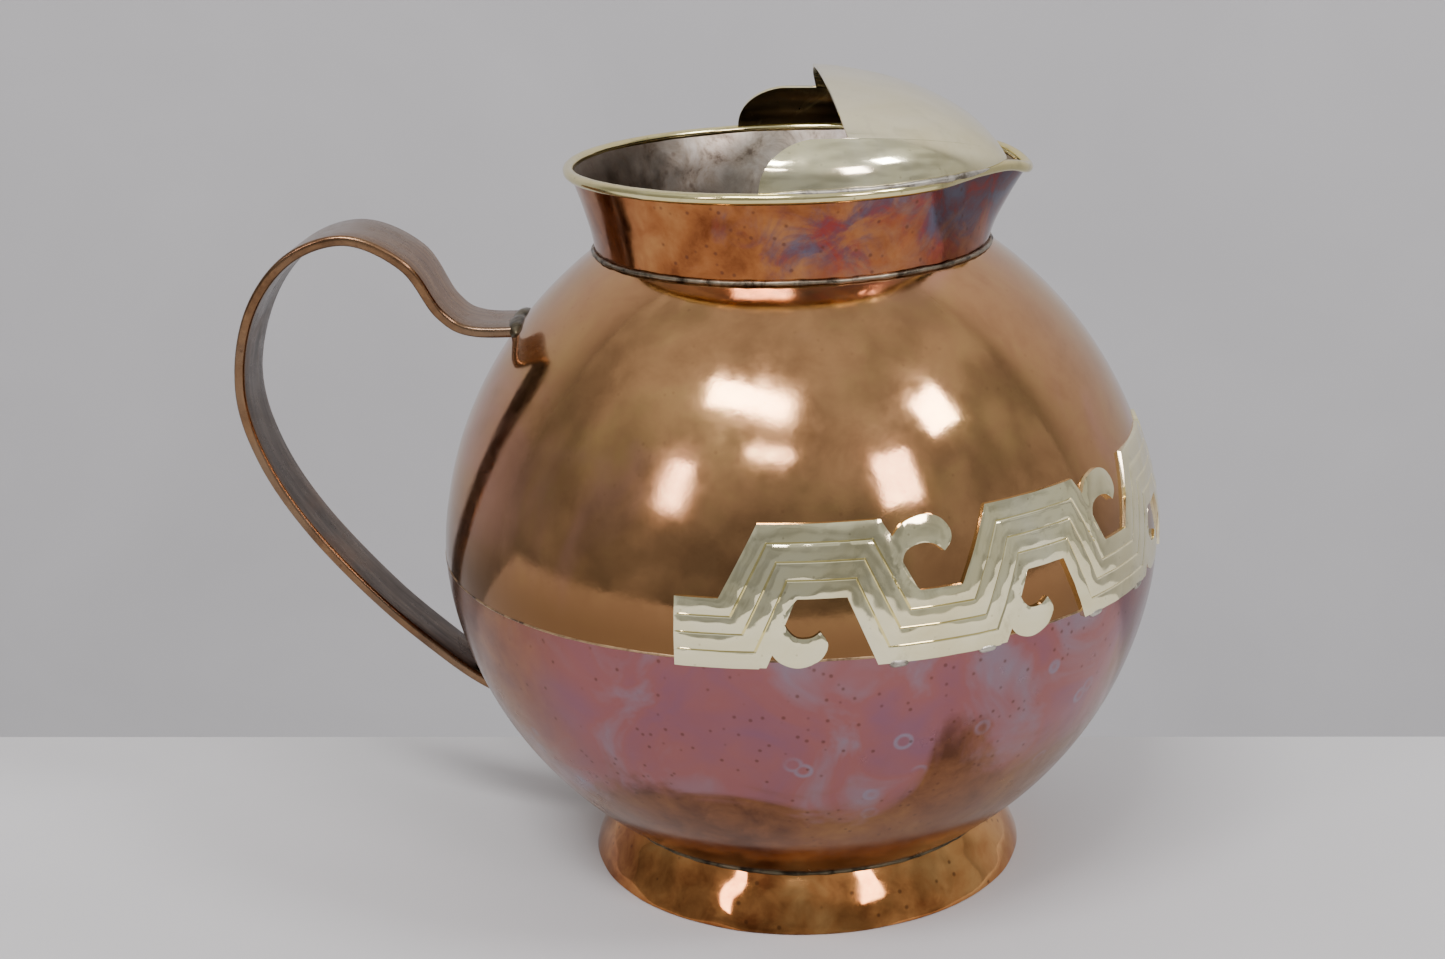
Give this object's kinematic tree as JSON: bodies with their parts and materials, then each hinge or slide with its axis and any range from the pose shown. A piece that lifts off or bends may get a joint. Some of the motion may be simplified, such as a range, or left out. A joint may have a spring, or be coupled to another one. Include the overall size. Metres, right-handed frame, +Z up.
{
  "type": "water jug",
  "caption": "Round copper water jug with a flared pouring collar, brass ice guard over the lip, strap handle, foot ring and a brass fret band.",
  "frame": {"origin": "centre of the foot ring, on the surface that the jug stands on", "axes": "+X towards the pouring lip with the handle at -X, +Y across the jug, +Z up"},
  "size_m": [0.2325, 0.182, 0.2024],
  "materials": {
    "copper_body": "satin copper with a patina",
    "copper_collar": "satin copper with a heat patina, tinned inside",
    "copper_foot": "polished copper",
    "copper_strap": "satin copper",
    "brass_sheet": "polished pale brass",
    "brass_wire": "satin pale brass",
    "solder": "dull soft solder"
  },
  "bodies": {
    "root": {"body_lower": "copper_body", "body_upper": "copper_body", "seam_solder": "solder", "foot_ring": "copper_foot", "foot_solder": "solder", "collar": "copper_collar", "collar_solder": "solder", "rim_wire": "brass_wire", "ice_guard": "brass_sheet", "guard_solder": "solder", "handle_strap": "copper_strap", "handle_top_solder": "solder", "handle_low_solder": "solder", "fret_band": "brass_sheet", "fret_solder": "solder"}
  },
  "joints": []
}
